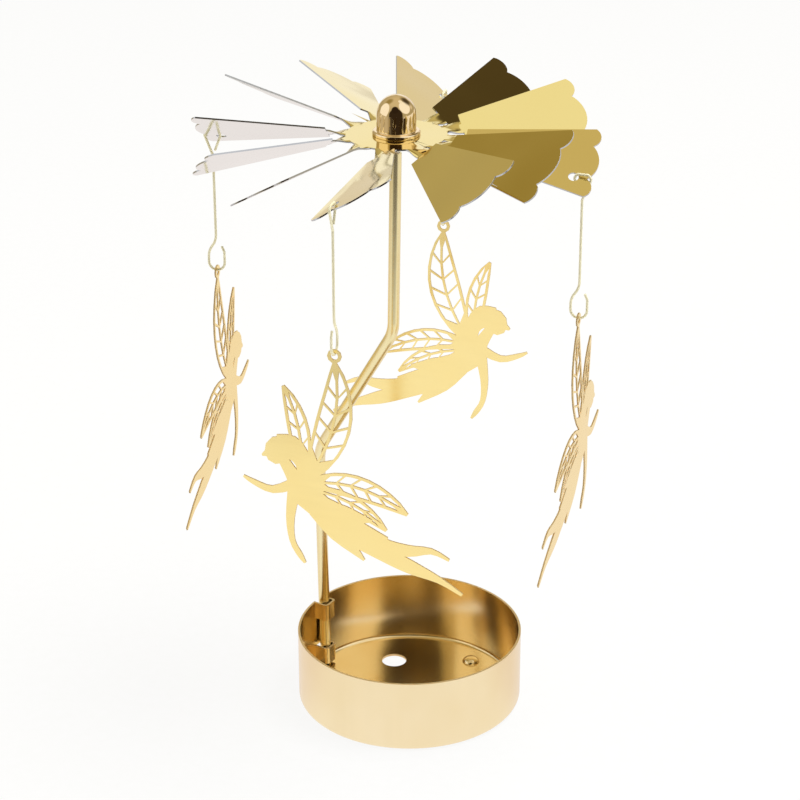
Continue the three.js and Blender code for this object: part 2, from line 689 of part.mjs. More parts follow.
// The middle of a blade's rim outside its hanger hole, from the middle of the wheel
function rimMiddle(blade) {
  const outward = BLADE_REACH - HANGER_RIM_WIDTH / 2;
  const middle = new THREE.Vector3(outward, hangerHole.y, 0)
    .applyAxisAngle(new THREE.Vector3(1, 0, 0), radians(BLADE_TWISTS[blade]));
  middle.z += droopAt(outward, BLADE_DROOPS[blade]);
  return middle.applyAxisAngle(upright, radians(bladeAzimuth(blade)));
}

const holder = new THREE.Group();
holder.add(piece('tray', buildTray(), COLOURS.tray));
holder.add(piece('post_tube', buildPost(), COLOURS.post));
holder.add(piece('pivot_needle', buildNeedle(), COLOURS.needle));
holder.add(piece('rotor_wheel', buildWheel(), COLOURS.wheel));
holder.add(piece('hub_cap', buildCap(), COLOURS.cap));

HANGERS.forEach(({ tipSide, flight }, k) => {
  const middle = rimMiddle(k * bladesPerHanger);
  const hanger = new THREE.Group();
  hanger.position.set(WHEEL_OFFSET + middle.x, middle.y, WHEEL_HEIGHT + middle.z);
  hanger.rotation.z = Math.atan2(middle.y, middle.x);
  hanger.add(piece(`hanger_hook_${k + 1}`, buildHook(tipSide), COLOURS.wire));
  const figure = piece(`winged_figure_${k + 1}`, buildFigure(), COLOURS.figure);
  figure.position.z = -HOOK_DROP;
  figure.rotation.z = flight > 0 ? 0 : Math.PI;
  hanger.add(figure);
  holder.add(hanger);
});

export default holder;
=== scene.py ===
# %% [markdown]
# # A spinning tealight holder in plated sheet, tube and wire
# A round tray holds a tealight, a bent tube stands in its wall, and a bladed wheel turns on a needle
# at the top of the tube in the rising warm air. Winged figures hang from the wheel on wire hooks.
# The CAD model gives every size and place. Here each piece is made again the way a metal shop makes
# it, with finer curves and softened edges, and gets the finish that the real metal shows.

# %% Load the CAD frame
import json
import math

import bmesh
import bpy
from mathutils import Matrix, Vector

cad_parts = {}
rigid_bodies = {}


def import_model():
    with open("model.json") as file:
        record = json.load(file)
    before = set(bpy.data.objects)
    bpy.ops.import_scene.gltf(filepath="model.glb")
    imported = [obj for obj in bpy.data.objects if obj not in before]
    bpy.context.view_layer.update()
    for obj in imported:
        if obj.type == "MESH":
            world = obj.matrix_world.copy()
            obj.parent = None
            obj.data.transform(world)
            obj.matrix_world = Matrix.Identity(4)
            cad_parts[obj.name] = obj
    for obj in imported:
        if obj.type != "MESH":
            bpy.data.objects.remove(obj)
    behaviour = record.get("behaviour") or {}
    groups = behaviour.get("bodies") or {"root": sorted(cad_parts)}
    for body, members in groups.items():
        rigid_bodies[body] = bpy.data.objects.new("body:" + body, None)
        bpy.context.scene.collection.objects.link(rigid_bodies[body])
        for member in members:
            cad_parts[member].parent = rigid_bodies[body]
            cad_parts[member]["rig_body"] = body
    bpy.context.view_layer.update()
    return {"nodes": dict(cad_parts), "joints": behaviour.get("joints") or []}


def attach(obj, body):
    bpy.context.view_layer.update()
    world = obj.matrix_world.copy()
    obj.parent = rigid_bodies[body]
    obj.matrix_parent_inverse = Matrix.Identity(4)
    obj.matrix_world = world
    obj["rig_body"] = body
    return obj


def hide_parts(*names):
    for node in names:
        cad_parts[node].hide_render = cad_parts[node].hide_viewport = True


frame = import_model()
MM = 0.001
UP = Vector((0, 0, 1))
print("CAD nodes:", sorted(frame["nodes"]))

# %% [markdown]
# ## Camera
# The photograph is taken from a little above, far enough away that the tray's front and back rims are
# nearly the same width. The lens could be guessed by eye, but the rims' ellipses and the height of
# the wheel give the distance, the tilt and the lens together, so those values are used here.

# %% Camera
CAMERA_DISTANCE = 600 * MM
CAMERA_TILT = math.radians(23.83)
CAMERA_TARGET = Vector((0, 0, 87 * MM))
CAMERA_LENS = 104.7
CAMERA_SENSOR = 36
CAMERA_SHIFT = -0.0118
NEAREST_SEEN = 10 * MM

scene = bpy.context.scene
scene.view_settings.view_transform = "Standard"
looking = Vector((0, math.cos(CAMERA_TILT), -math.sin(CAMERA_TILT)))
camera_data = bpy.data.cameras.new("camera")
camera_data.lens = CAMERA_LENS
camera_data.sensor_width = CAMERA_SENSOR
camera_data.shift_x = CAMERA_SHIFT
camera_data.clip_start = NEAREST_SEEN
camera = bpy.data.objects.new("camera", camera_data)
camera.location = CAMERA_TARGET - looking * CAMERA_DISTANCE
camera.rotation_mode = "QUATERNION"
camera.rotation_quaternion = looking.to_track_quat("-Z", "Y")
scene.collection.objects.link(camera)
scene.camera = camera
print("camera at", [round(c, 4) for c in camera.location])

# %% [markdown]
# ## Node and colour helpers
# Colours are written as the hex values that a colour picker shows, which are sRGB. Shaders work in
# linear light, so one function converts them by the sRGB standard's curve. One more adds a node with
# its settings and links, which keeps each material below short enough to read in one go.

# %% Helpers for colours and nodes
WHITE = "#FFFFFF"
# A Mix node has sockets for every kind of value. These are the places of its colour sockets.
COLOUR_A = 6
COLOUR_B = 7
COLOUR_OUT = 2


def linear(hex_colour):
    """An sRGB hex colour as the linear RGBA that shader sockets take."""
    parts = [int(hex_colour[i:i + 2], 16) / 255 for i in (1, 3, 5)]
    return [c / 12.92 if c <= 0.04045 else ((c + 0.055) / 1.055) ** 2.4 for c in parts] + [1]


def add(tree, kind, inputs=None, **settings):
    """A new node. An input takes a value, or another node's output to link from."""
    node = tree.nodes.new(kind)
    for name, value in settings.items():
        setattr(node, name, value)
    for socket, value in (inputs or {}).items():
        if isinstance(value, bpy.types.NodeSocket):
            tree.links.new(value, node.inputs[socket])
        else:
            node.inputs[socket].default_value = value
    return node


print("white, linear:", [round(c, 3) for c in linear(WHITE)])

# %% [markdown]
# ## Studio
# Polished metal has hardly any colour of its own: it shows the room, tinted gold. The room here is a
# white table under a dimmer, warm ceiling, with bright windows at both sides, a softbox overhead and
# a dark side where the camera stands. Lamps alone would leave black gaps in the reflections, so
# the room is drawn on the world sphere by direction. The camera itself sees plain white.

# %% Room
# The ceiling's colours, each at the height of its direction: 0 is level and 1 is straight up.
CEILING = [(0.3, "#AFA585"), (0.9, "#D0C4A4")]
# Each card is a patch of the room: azimuth and elevation in degrees, the half angle of its even
# middle and of its soft outside, and its colour.
ROOM_CARDS = [
    ("white sweep", 85, -2, 22, 34, WHITE),
    ("left ceiling", 154, 55, 0, 24, "#9A8A58"),
    ("left window", 186, 20, 29, 34, WHITE),
    ("right window", -20, 40, 30, 35, WHITE),
    ("right wall", 66, 14, 6, 14, "#E6E0E2"),
    ("right shelf", 26, 20, 6, 14, "#D8CEB8"),
    ("dark corner", 40, 42, 2, 27, "#4E4330"),
    ("softbox", 16, 71, 8, 11, "#F9F9F6"),
    ("front room", -93, 6, 37, 43, "#33281C"),
    ("front ceiling", -99, 38, 17, 23, "#2E2319"),
]

world = bpy.data.worlds.new("studio room")
scene.world = world
world.use_nodes = True
tree = world.node_tree
tree.nodes.clear()
direction = add(tree, "ShaderNodeTexCoord").outputs["Generated"]
height = add(tree, "ShaderNodeSeparateXYZ", {"Vector": direction}).outputs["Z"]
ceiling = add(tree, "ShaderNodeValToRGB", {"Fac": height})
for stop, (level, colour) in zip(ceiling.color_ramp.elements, CEILING):
    stop.position = level
    stop.color = linear(colour)
room = ceiling.outputs["Color"]
for name, azimuth, elevation, core, edge, colour in ROOM_CARDS:
    flat = math.cos(math.radians(elevation))
    towards = (
        flat * math.cos(math.radians(azimuth)),
        flat * math.sin(math.radians(azimuth)),
        math.sin(math.radians(elevation)),
    )
    facing = add(tree, "ShaderNodeVectorMath", {0: direction, 1: towards}, operation="DOT_PRODUCT")
    share = add(tree, "ShaderNodeMapRange", {
        "Value": facing.outputs["Value"],
        "From Min": math.cos(math.radians(edge)),
        "From Max": math.cos(math.radians(core)),
    }, interpolation_type="SMOOTHSTEP", label=name)
    room = add(tree, "ShaderNodeMix", {
        "Factor": share.outputs["Result"], COLOUR_A: room, COLOUR_B: linear(colour),
    }, data_type="RGBA").outputs[COLOUR_OUT]
print("room cards:", [card[0] for card in ROOM_CARDS])

# %% World
paths = add(tree, "ShaderNodeLightPath")
seen_direct = add(tree, "ShaderNodeMath", {
    0: paths.outputs["Is Camera Ray"], 1: paths.outputs["Is Transmission Ray"],
}, operation="MAXIMUM").outputs["Value"]
shown = add(tree, "ShaderNodeMix", {
    "Factor": seen_direct, COLOUR_A: room, COLOUR_B: linear(WHITE),
}, data_type="RGBA").outputs[COLOUR_OUT]
background = add(tree, "ShaderNodeBackground", {"Color": shown, "Strength": 1.0})
add(tree, "ShaderNodeOutputWorld", {"Surface": background.outputs["Background"]})
print("world:", world.name, "with", len(tree.nodes), "nodes")

# %% [markdown]
# ## Floor and lamp
# The holder stands on matt white paper that takes its soft shadow. Mirrors see further than the
# camera does: the paper ends, and the floor beyond it is dim, and dark where the camera stands. Real
# walls and a second floor would show that too, but they would also take light from the holder. So
# the paper's material glows for glossy rays with painted light and shade: the colour that the floor shows
# at that place.

# %% Paper
PAPER_PALE = "#FDFDFC"
PAPER_GRAIN = 3 * MM
PAPER_DETAIL = 2.0

# Matt paper has a faint grain, here as coarse as the render can show.
floor_material = bpy.data.materials.new("matt white paper sweep")
floor_material.use_nodes = True
tree = floor_material.node_tree
tree.nodes.clear()
place = add(tree, "ShaderNodeTexCoord").outputs["Object"]
grain = add(tree, "ShaderNodeTexNoise", {
    "Vector": place, "Scale": 1 / PAPER_GRAIN, "Detail": PAPER_DETAIL,
})
paper = add(tree, "ShaderNodeMix", {
    "Factor": grain.outputs["Fac"], COLOUR_A: linear(PAPER_PALE), COLOUR_B: linear(WHITE),
}, data_type="RGBA").outputs[COLOUR_OUT]
print("paper grain", PAPER_GRAIN, "m")

# %% Where the floor changes
spot = add(tree, "ShaderNodeSeparateXYZ", {"Vector": place})
away = add(tree, "ShaderNodeVectorMath", {0: place}, operation="LENGTH").outputs["Value"]
ahead = add(tree, "ShaderNodeMath", {
    0: spot.outputs["Y"], 1: away,
}, operation="DIVIDE").outputs["Value"]
aside = add(tree, "ShaderNodeMath", {
    0: spot.outputs["X"], 1: away,
}, operation="DIVIDE").outputs["Value"]
# Each fade starts at its first number and is full at its second. Distances are in metres. The others
# compare a place with a direction, +Y or +X: 1 is straight that way and -1 straight the other way.
floor_fades = {
    "paper ends": (away, 0.28, 0.6),
    "paper ends in front": (away, 0.21, 0.46),
    "front": (ahead, -0.55, -0.94),
    "back": (ahead, 0.75, 0.9),
    "right": (aside, 0.4, 0.8),
    "shaded": (ahead, -0.6, 0.1),
}
faded = {}
for name, (value, start, full) in floor_fades.items():
    fade = add(tree, "ShaderNodeMapRange", {
        "Value": value, "From Min": start, "From Max": full,
    }, interpolation_type="SMOOTHSTEP", label=name)
    faded[name] = fade.outputs["Result"]
print("floor fades:", list(faded))

# %% What mirrors see of the floor
# Painted light and shade that only mirrors see: a dim floor beyond the paper, painted dark shade on the
# side where the camera stands, lighter floor to the right and at the back, and painted shade on the paper
# beside and behind the holder.
PAINTED_DIM_FLOOR = "#C4B99F"
PAINTED_FLOOR_SIDES = [("right", "#F4F0E8"), ("front", "#33281C"), ("back", "#E0DCD6")]
SHADED_PAPER = "#F6EFEC"

distant = linear(PAINTED_DIM_FLOOR)
for name, colour in PAINTED_FLOOR_SIDES:
    distant = add(tree, "ShaderNodeMix", {
        "Factor": faded[name], COLOUR_A: distant, COLOUR_B: linear(colour),
    }, data_type="RGBA").outputs[COLOUR_OUT]
close = add(tree, "ShaderNodeMix", {
    "Factor": faded["shaded"], COLOUR_A: linear(WHITE), COLOUR_B: linear(SHADED_PAPER),
}, data_type="RGBA").outputs[COLOUR_OUT]
reach = add(tree, "ShaderNodeMix", {
    "Factor": faded["front"], "A": faded["paper ends"], "B": faded["paper ends in front"],
}).outputs["Result"]
mirrored = add(tree, "ShaderNodeMix", {
    "Factor": reach, COLOUR_A: close, COLOUR_B: distant,
}, data_type="RGBA").outputs[COLOUR_OUT]
print("floor sides:", [side[0] for side in PAINTED_FLOOR_SIDES])

# %% Floor
FLOOR_SIZE = 14.0
FLOOR_DROP = 0.05 * MM
PAPER_GLOW = 0.9

paths = add(tree, "ShaderNodeLightPath")
seen_direct = add(tree, "ShaderNodeMath", {
    0: paths.outputs["Is Camera Ray"], 1: paths.outputs["Is Transmission Ray"],
}, operation="MAXIMUM").outputs["Value"]
glowing = add(tree, "ShaderNodeMath", {
    0: seen_direct, 1: PAPER_GLOW,
}, operation="MULTIPLY").outputs["Value"]
matt = add(tree, "ShaderNodeBsdfDiffuse", {"Color": paper})
glow = add(tree, "ShaderNodeEmission", {"Color": paper, "Strength": 1.0})
# For glossy rays the paper glows with that painted floor of light and shade.
bounce = add(tree, "ShaderNodeEmission", {"Color": mirrored, "Strength": 1.0})
lit = add(tree, "ShaderNodeMixShader", {
    0: glowing, 1: matt.outputs["BSDF"], 2: glow.outputs["Emission"],
})
answered = add(tree, "ShaderNodeMixShader", {
    0: paths.outputs["Is Glossy Ray"], 1: lit.outputs["Shader"], 2: bounce.outputs["Emission"],
})
add(tree, "ShaderNodeOutputMaterial", {"Surface": answered.outputs["Shader"]})

bm = bmesh.new()
bmesh.ops.create_grid(bm, x_segments=1, y_segments=1, size=FLOOR_SIZE / 2)
bmesh.ops.translate(bm, vec=(0, 0, -FLOOR_DROP), verts=bm.verts)
floor_mesh = bpy.data.meshes.new("floor")
bm.to_mesh(floor_mesh)
bm.free()
floor_mesh.materials.append(floor_material)
floor = bpy.data.objects.new("floor", floor_mesh)
scene.collection.objects.link(floor)
print("floor", FLOOR_SIZE, "m across")

# %% Lamp
LAMP_SIZE = 0.5
LAMP_POWER = 7.0
LAMP_PLACE = (0.28, 0.02, 0.95)

lamp_data = bpy.data.lights.new("softbox overhead", "AREA")
lamp_data.shape = "DISK"
lamp_data.size = LAMP_SIZE
lamp_data.energy = LAMP_POWER
lamp = bpy.data.objects.new("softbox overhead", lamp_data)
lamp.location = LAMP_PLACE
# Mirrors see the softbox that is drawn in the room, so the lamp itself stays out of them.
lamp.visible_glossy = False
lamp.rotation_mode = "QUATERNION"
lamp.rotation_quaternion = (CAMERA_TARGET - lamp.location).to_track_quat("-Z", "Y")
scene.collection.objects.link(lamp)
print("lamp", LAMP_POWER, "W")

# %% [markdown]
# ## Finishes
# Everything is steel, nearly all of it with a thin gold plating, and the pieces differ in how they were
# worked: the tray is deep drawn and satin, the wheel is rolled mirror sheet, the cap is turned bright.
# A single colour and roughness would look like plastic, so each finish has a little cloudiness in its
# colour, streaks in its roughness along the way it was worked, and a faint waviness in the surface.

# %% Worked metal
CLOUD_DETAIL = 3.0
STREAK_DETAIL = 4.0
STREAK_LEAST = 0.7
STREAK_MOST = 1.4
WAVE_DETAIL = 1.0


def worked_metal(name, pale, deep, roughness, streak_mm, cloud_mm, wave_mm, wave_depth_mm, bare=1.0):
    """A metal finish. Streaks have a size along x, y and z, and a long one runs along the working.

    A lower bare gives the colour a matt share; with the near-white colours of the wire and the rolled
    edges that share is a painted sheen.
    """
    material = bpy.data.materials.new(name)
    material.use_nodes = True
    tree = material.node_tree
    tree.nodes.clear()
    place = add(tree, "ShaderNodeTexCoord").outputs["Object"]
    clouds = add(tree, "ShaderNodeTexNoise", {
        "Vector": place, "Scale": 1 / (cloud_mm * MM), "Detail": CLOUD_DETAIL,
    })
    colour = add(tree, "ShaderNodeMix", {
        "Factor": clouds.outputs["Fac"], COLOUR_A: linear(pale), COLOUR_B: linear(deep),
    }, data_type="RGBA").outputs[COLOUR_OUT]
    stretched = add(tree, "ShaderNodeMapping", {
        "Vector": place, "Scale": [1 / (size * MM) for size in streak_mm],
    })
    streaks = add(tree, "ShaderNodeTexNoise", {
        "Vector": stretched.outputs["Vector"], "Scale": 1.0, "Detail": STREAK_DETAIL,
    })
    rough = add(tree, "ShaderNodeMapRange", {
        "Value": streaks.outputs["Fac"],
        "To Min": roughness * STREAK_LEAST,
        "To Max": roughness * STREAK_MOST,
    })
    waves = add(tree, "ShaderNodeTexNoise", {
        "Vector": place, "Scale": 1 / (wave_mm * MM), "Detail": WAVE_DETAIL,
    })
    relief = add(tree, "ShaderNodeBump", {
        "Height": waves.outputs["Fac"], "Strength": 1.0, "Distance": wave_depth_mm * MM,
    })
    metal = add(tree, "ShaderNodeBsdfPrincipled", {
        "Base Color": colour,
        "Metallic": bare,
        "Roughness": rough.outputs["Result"],
        "Normal": relief.outputs["Normal"],
    })
    add(tree, "ShaderNodeOutputMaterial", {"Surface": metal.outputs["BSDF"]})
    print("finish:", name)
    return material


print("roughness runs from", STREAK_LEAST, "to", STREAK_MOST, "times its middle value")

# %% [markdown]
# ## Profiles and the finishing bench
# Shapes are drawn in millimetres, as on a shop drawing. A profile is a wire of straight lines whose
# corners are rounded with a vertex bevel: arcs could be worked out point by point, but the bevel needs
# only a rounding for each corner. Every piece ends on the same bench. There it is scaled to metres
# once, gets its finishes, and takes the place of its CAD node on the body that the node rides on.

# %% Rounded profiles
ROUNDING_STEPS = 6


def draw_profile(bm, corners):
    """A wire of (radius, height, rounding) in the XZ plane, with its corners rounded."""
    points = [Vector((corner[0], 0, corner[1])) for corner in corners]
    verts = [bm.verts.new(point) for point in points]
    for a, b in zip(verts, verts[1:]):
        bm.edges.new((a, b))
    for vert, before, point, after, corner in zip(verts[1:], points, points[1:], points[2:], corners[1:]):
        if corner[2] > 0:
            opening = (before - point).angle(after - point)
            bmesh.ops.bevel(
                bm, geom=[vert], offset=corner[2] / math.tan(opening / 2), offset_type="OFFSET",
                segments=ROUNDING_STEPS, profile=0.5, affect="VERTICES", material=-1,
                clamp_overlap=False,
            )
    return bm.edges[:]


print("corners are rounded in", ROUNDING_STEPS, "steps")

# %% Finishing bench


def finish_piece(bm, name, materials, node, smooth_angle=35):
    """Scales a shape from millimetres and puts it in the place of its CAD node."""
    bmesh.ops.scale(bm, vec=(MM, MM, MM), verts=bm.verts)
    mesh = bpy.data.meshes.new(name)
    bm.to_mesh(mesh)
    bm.free()
    for material in materials:
        mesh.materials.append(material)
    if smooth_angle:
        mesh.shade_smooth()
        mesh.set_sharp_from_angle(angle=math.radians(smooth_angle))
    piece = bpy.data.objects.new(name, mesh)
    scene.collection.objects.link(piece)
    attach(piece, frame["nodes"][node]["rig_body"])
    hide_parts(node)
    print(name, len(mesh.vertices), "vertices,", len(mesh.polygons), "faces")
    return piece


def soften(piece, width_mm, rim=None, segments=2, angle=50):
    """Rounds a piece's sharp edges, as stamping and tumbling leave them. A rim is their own finish."""
    edge = piece.modifiers.new("softened edges", "BEVEL")
    edge.width = width_mm * MM
    edge.segments = segments
    edge.limit_method = "ANGLE"
    edge.angle_limit = math.radians(angle)
    edge.harden_normals = True
    if rim is not None:
        edge.material = piece.data.materials.find(rim.name)


def thicken(piece, thickness_mm, back, rim):
    """Gives a sheet its gauge, half above and half below, with other finishes on its back and rim."""
    gauge = piece.modifiers.new("sheet gauge", "SOLIDIFY")
    gauge.thickness = thickness_mm * MM
    gauge.offset = 0
    gauge.use_even_offset = True
    gauge.use_quality_normals = True
    gauge.material_offset = piece.data.materials.find(back.name)
    gauge.material_offset_rim = piece.data.materials.find(rim.name)


print("bench ready for", len(frame["nodes"]), "pieces")

# %% [markdown]
# ## Tray
# The tray is a shallow cup drawn from sheet. Two strips of its wall are slit and pushed inwards to
# hold the post, a hole is punched in the floor, and three pips keep the tealight off it. A boolean
# could cut all that from a solid, but the press works on one sheet, so one sheet is spun here, slit
# with split_edges, pushed, and only then given its gauge.

# %% Tray finishes
# Deep drawing leaves a satin gold with faint lines down the wall.
tray_gold = worked_metal(
    "deep drawn gold plated steel", pale="#F9E6C0", deep="#F3DCAE", roughness=0.2,
    streak_mm=(2, 2, 40), cloud_mm=14, wave_mm=9, wave_depth_mm=0.012,
)
# The punch leaves the inside a little clearer and yellower, with no direction to its shine.
tray_inside = worked_metal(
    "drawn gold inside", pale="#F8E4B6", deep="#F2D8A2", roughness=0.18,
    streak_mm=(0.5, 0.5, 0.5), cloud_mm=8, wave_mm=5, wave_depth_mm=0.008,
)
# A sheared edge is torn and grainy, so it is a soft pale line and never a mirror.
sheared_gold = worked_metal(
    "sheared edge under gold plating", pale="#FFF0C8", deep="#FAE2AC", roughness=0.85,
    streak_mm=(1, 1, 0.2), cloud_mm=2, wave_mm=1, wave_depth_mm=0.02,
)

# %% Tray wall
TRAY_RADIUS = 30
TRAY_HEIGHT = 20
TRAY_GAUGE = 0.6
TRAY_CORNER = 1.6
SOCKET_AZIMUTH = math.radians(147.5)
STRAP_RADIUS = 2.0
STRAP_HEIGHTS = [(1.6, 6.4), (15.2, 20)]
STRAP_STEPS = 40
WALL_STEPS = 132
# The corner's rounding ends where the lower strap starts, so a hair's breadth parts the two points.
HAIR = 0.001
COARSE_WELD = 1e-3

wall_middle = TRAY_RADIUS - TRAY_GAUGE / 2
floor_middle = TRAY_GAUGE / 2
floor_edge = TRAY_RADIUS - TRAY_CORNER
half_socket = math.asin(STRAP_RADIUS / wall_middle)
lower_strap, upper_strap = STRAP_HEIGHTS

bm = bmesh.new()
draw_profile(bm, [
    (floor_edge, floor_middle, 0),
    (wall_middle, floor_middle, TRAY_CORNER - TRAY_GAUGE / 2),
    (wall_middle, lower_strap[0] + HAIR, 0),
    (wall_middle, lower_strap[1], 0),
    (wall_middle, upper_strap[0], 0),
    (wall_middle, TRAY_HEIGHT, 0),
])
bmesh.ops.rotate(
    bm, verts=bm.verts, cent=(0, 0, 0), matrix=Matrix.Rotation(SOCKET_AZIMUTH - half_socket, 3, "Z"),
)
socket = bmesh.ops.spin(
    bm, geom=bm.edges[:], cent=(0, 0, 0), axis=UP, angle=2 * half_socket, steps=STRAP_STEPS,
)
last = [g for g in socket["geom_last"] if isinstance(g, bmesh.types.BMEdge)]
bmesh.ops.spin(
    bm, geom=last, cent=(0, 0, 0), axis=UP, angle=2 * (math.pi - half_socket), steps=WALL_STEPS,
)
bmesh.ops.remove_doubles(bm, verts=bm.verts, dist=COARSE_WELD)
print("tray wall:", len(bm.faces), "faces")

# %% Slit the straps and push them in
POST_DISTANCE = 27.7
STRAP_CORNER = 0.75
SLACK = 0.01


def socket_share(vert):
    """How far round the socket a point lies: -1 and 1 at its ends."""
    azimuth = math.atan2(vert.co.y, vert.co.x)
    return (azimuth - SOCKET_AZIMUTH) / half_socket


def in_socket(part):
    """Whether a face or an edge lies within the socket, ends included."""
    return all(abs(socket_share(v)) < 1 + SLACK for v in part.verts)


def on_slit(edge, low, high):
    """Whether an edge runs level along the bottom or the top of a strap."""
    first, second = [v.co.z for v in edge.verts]
    level = abs(first - second) < SLACK
    return level and all(min(abs(z - low), abs(z - high)) < SLACK for z in (first, second))


def strap_point(share, height):
    """A point of the strap's bow, with share from -1 to 1 along its length."""
    front = STRAP_RADIUS - STRAP_CORNER
    corner = math.pi / 2 * STRAP_CORNER
    leg = math.sqrt(wall_middle ** 2 - STRAP_RADIUS ** 2) - POST_DISTANCE + front
    along = abs(share) * (front + corner + leg)
    if along < front:
        outward, across = -STRAP_RADIUS, along
    elif along < front + corner:
        turn = (along - front) / STRAP_CORNER
        outward = -front - STRAP_CORNER * math.cos(turn)
        across = front + STRAP_CORNER * math.sin(turn)
    else:
        outward, across = along - corner - 2 * front, STRAP_RADIUS
    local = Vector((POST_DISTANCE + outward, math.copysign(across, share), height))
    return Matrix.Rotation(SOCKET_AZIMUTH, 3, "Z") @ local


for low, high in STRAP_HEIGHTS:
    strip = [f for f in bm.faces if low < f.calc_center_median().z < high and in_socket(f)]
    slits = [e for e in bm.edges if len(e.link_faces) == 2 and in_socket(e) and on_slit(e, low, high)]
    bmesh.ops.split_edges(bm, edges=slits)
    for vert in {v for f in strip for v in f.verts}:
        share = socket_share(vert)
        if abs(share) < 1 - SLACK:
            vert.co = strap_point(share, vert.co.z)
print("straps pushed in at", STRAP_HEIGHTS)

# %% Floor with its hole and pips
FLOOR_HOLE_RADIUS = 3.4
FLOOR_HOLE_DISTANCE = 16.5
FLOOR_HOLE_AZIMUTH = math.radians(105)
FLOOR_HOLE_STEPS = 40
PIP_RADIUS = 2.2
PIP_DISTANCE = 23.1
PIP_AZIMUTHS = [math.radians(azimuth) for azimuth in (42, 162, 282)]
PIP_STEPS = 28
# A pip rises in rings: how far each ring lies inside the one before, and how far it stands above it.
PIP_RINGS = [(0.12, 0.35), (0.25, 0.37), (0.4, 0.28), (0.5, 0.15), (0.5, 0.05)]
WELD = 1e-4


def ring(bm, centre, radius, steps):
    """A circle of edges lying flat."""
    made = bmesh.ops.create_circle(
        bm, cap_ends=False, radius=radius, segments=steps, matrix=Matrix.Translation(centre),
    )
    return list(dict.fromkeys(e for v in made["verts"] for e in v.link_edges))


def around(distance, azimuth, height):
    """A point at a distance and an azimuth from the tray's axis."""
    return Vector((distance * math.cos(azimuth), distance * math.sin(azimuth), height))


def at_floor(edge):
    """Whether an edge lies in the middle of the floor's gauge."""
    return all(abs(v.co.z - floor_middle) < WELD for v in edge.verts)


rim = [e for e in bm.edges if at_floor(e) and e.is_boundary]
hole_centre = around(FLOOR_HOLE_DISTANCE, FLOOR_HOLE_AZIMUTH, floor_middle)
hole = ring(bm, hole_centre, FLOOR_HOLE_RADIUS, FLOOR_HOLE_STEPS)
pip_centres = [around(PIP_DISTANCE, azimuth, floor_middle) for azimuth in PIP_AZIMUTHS]
pips = [ring(bm, centre, PIP_RADIUS, PIP_STEPS) for centre in pip_centres]
bmesh.ops.triangle_fill(bm, use_beauty=True, edges=rim + hole + sum(pips, []), normal=UP)
for loop in pips:
    crown = bmesh.ops.edgeloop_fill(bm, edges=loop)["faces"]
    bmesh.ops.recalc_face_normals(bm, faces=crown)
    if crown[0].normal.z < 0:
        bmesh.ops.reverse_faces(bm, faces=crown)
    for inward, rise in PIP_RINGS:
        bmesh.ops.inset_region(bm, faces=crown, thickness=inward, depth=rise)
print("tray floor:", len(pips), "pips and one hole")

# %% Tray
TRAY_EDGE = 0.12
LEVEL = Vector((1, 1, 0))

# The first finish is the inside's, so all faces have to look inwards.
bmesh.ops.recalc_face_normals(bm, faces=bm.faces)
outward = sum(f.normal.dot(f.calc_center_median() * LEVEL) * f.calc_area() for f in bm.faces)
if outward > 0:
    bmesh.ops.reverse_faces(bm, faces=bm.faces)
tray_finishes = [tray_inside, tray_gold, sheared_gold]
tray = finish_piece(bm, "tray_cup", tray_finishes, "tray")
thicken(tray, TRAY_GAUGE, back=tray_gold, rim=sheared_gold)
soften(tray, TRAY_EDGE, rim=sheared_gold)

# %% [markdown]
# ## Post and needle
# The post is a thin tube with two bends, and the needle is pressed into its open top. A curve with a
# bevel would also make a tube, but here the tube's end face is pushed along straight runs and spun
# round bends, as on a bending machine. That keeps true bend radii and an open bore whose mouth shows
# from above. The needle is a profile turned on a lathe.

# %% Bending machine


def faces_of(made):
    """The faces in what a bmesh operator hands back."""
    return [g for g in made if isinstance(g, bmesh.types.BMFace)]


def push(bm, faces, offset):
    """Extrudes faces along an offset and hands back the faces at the far end."""
    if offset.length < WELD:
        return faces
    grown = bmesh.ops.extrude_face_region(bm, geom=faces)["geom"]
    moved = [g for g in grown if isinstance(g, bmesh.types.BMVert)]
    bmesh.ops.translate(bm, vec=offset, verts=moved)
    return faces_of(grown)


def bend_rod(bm, section, corners, radii, steps):
    """Carries a section drawn at the origin along straight runs and round bends."""
    heading = (corners[1] - corners[0]).normalized()
    start = Matrix.Translation(corners[0]) @ UP.rotation_difference(heading).to_matrix().to_4x4()
    bmesh.ops.transform(bm, matrix=start, verts=bm.verts)
    here = corners[0]
    for before, corner, after, radius in zip(corners, corners[1:], corners[2:], radii):
        inward = (corner - before).normalized()
        outward = (after - corner).normalized()
        turn = inward.angle(outward)
        reach = radius * math.tan(turn / 2)
        section = push(bm, section, corner - inward * reach - here)
        side = (outward - inward * inward.dot(outward)).normalized()
        spun = bmesh.ops.spin(
            bm, geom=section, cent=corner - inward * reach + side * radius,
            axis=inward.cross(outward).normalized(), angle=turn, steps=steps,
        )
        section = faces_of(spun["geom_last"])
        here = corner + outward * reach
    push(bm, section, corners[-1] - here)
    bmesh.ops.remove_doubles(bm, verts=bm.verts, dist=WELD)
    bmesh.ops.recalc_face_normals(bm, faces=bm.faces)


print("bending machine ready")

# %% Post
POST_RADIUS = 1.5
POST_BORE_RADIUS = 1.0
POST_STEPS = 32
POST_LEAN = math.tan(math.radians(0.9))
POST_FOOT = 1.15
LOWER_BEND = 66
UPPER_BEND = Vector((-4.1, 0, 105.8))
NEEDLE_TIP = Vector((-3.2, 0, 165.7))
POST_TOP_HEIGHT = 153.7
POST_BEND_RADII = [12, 10]
POST_BEND_STEPS = 14
POST_EDGE = 0.1

